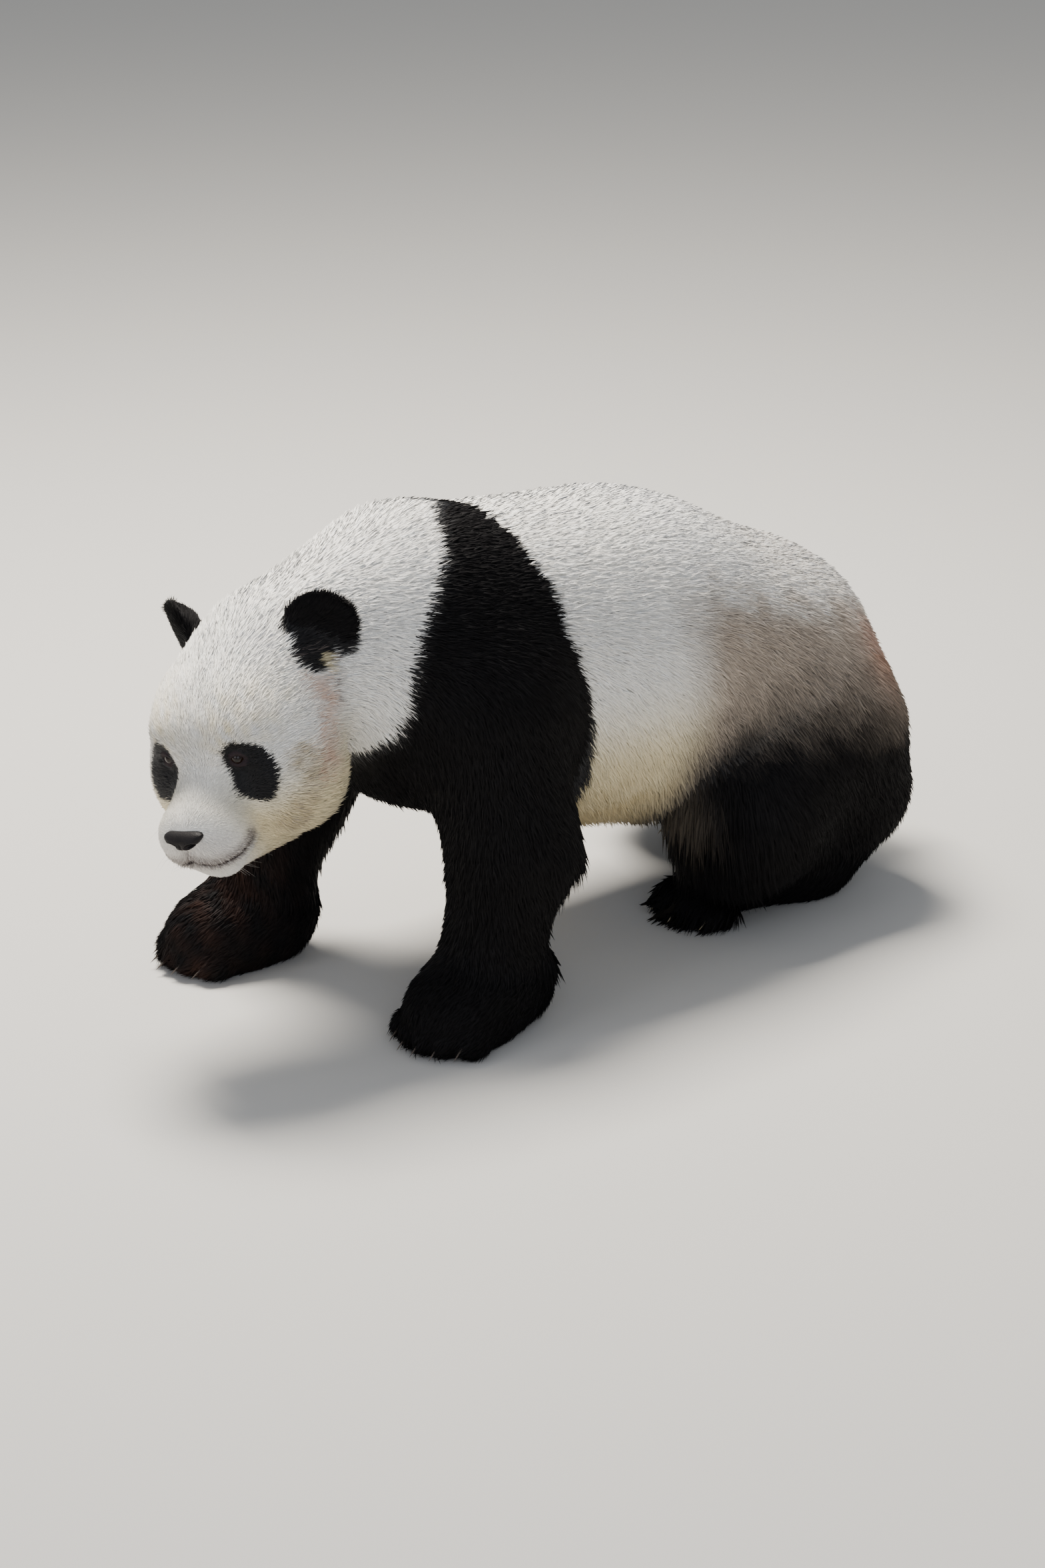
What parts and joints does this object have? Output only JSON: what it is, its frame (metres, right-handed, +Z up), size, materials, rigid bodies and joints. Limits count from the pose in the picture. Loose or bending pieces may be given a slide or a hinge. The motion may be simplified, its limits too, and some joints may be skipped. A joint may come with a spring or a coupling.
{
  "type": "giant panda",
  "caption": "Life-size still model of an adult giant panda walking with its head low, in one fixed pose, flat under all four feet.",
  "frame": {"origin": "centre of the model's bounding box, on the floor under the feet", "axes": "+Z up; the face and the direction of walking are towards -Y; the animal's left side is +X"},
  "size_m": [0.6166, 1.4746, 0.7311],
  "materials": {
    "white_coat": "dense short white to cream fur, matt",
    "grey_coat": "fur of mixed white and brown-black hairs, matt",
    "black_coat": "dense brown-black fur with a faint sheen",
    "nose_leather": "bare damp black nose skin, fine grain, soft gloss",
    "eye": "dark brown eye, wet gloss",
    "claw_horn": "pale grey-brown horn, worn smooth"
  },
  "bodies": {
    "root": {"ear_left": "black_coat", "ear_right": "black_coat", "eye_left": "eye", "eye_right": "eye", "fore_claw_left_1": "claw_horn", "fore_claw_left_2": "claw_horn", "fore_claw_left_3": "claw_horn", "fore_claw_left_4": "claw_horn", "fore_claw_left_5": "claw_horn", "fore_claw_right_1": "claw_horn", "fore_claw_right_2": "claw_horn", "fore_claw_right_3": "claw_horn", "fore_claw_right_4": "claw_horn", "fore_claw_right_5": "claw_horn", "forearm_left": "black_coat", "forearm_right": "black_coat", "forepaw_left": "black_coat", "forepaw_right": "black_coat", "head": "white_coat", "hind_claw_left_1": "claw_horn", "hind_claw_left_2": "claw_horn", "hind_claw_left_3": "claw_horn", "hind_claw_left_4": "claw_horn", "hind_claw_left_5": "claw_horn", "hind_claw_right_1": "claw_horn", "hind_claw_right_2": "claw_horn", "hind_claw_right_3": "claw_horn", "hind_claw_right_4": "claw_horn", "hind_claw_right_5": "claw_horn", "hindfoot_left": "black_coat", "hindfoot_right": "black_coat", "neck": "white_coat", "nose": "nose_leather", "rump": "grey_coat", "shank_left": "black_coat", "shank_right": "black_coat", "shoulders": "black_coat", "tail": "white_coat", "thigh_left": "black_coat", "thigh_right": "black_coat", "trunk": "white_coat", "upper_arm_left": "black_coat", "upper_arm_right": "black_coat"}
  },
  "joints": []
}
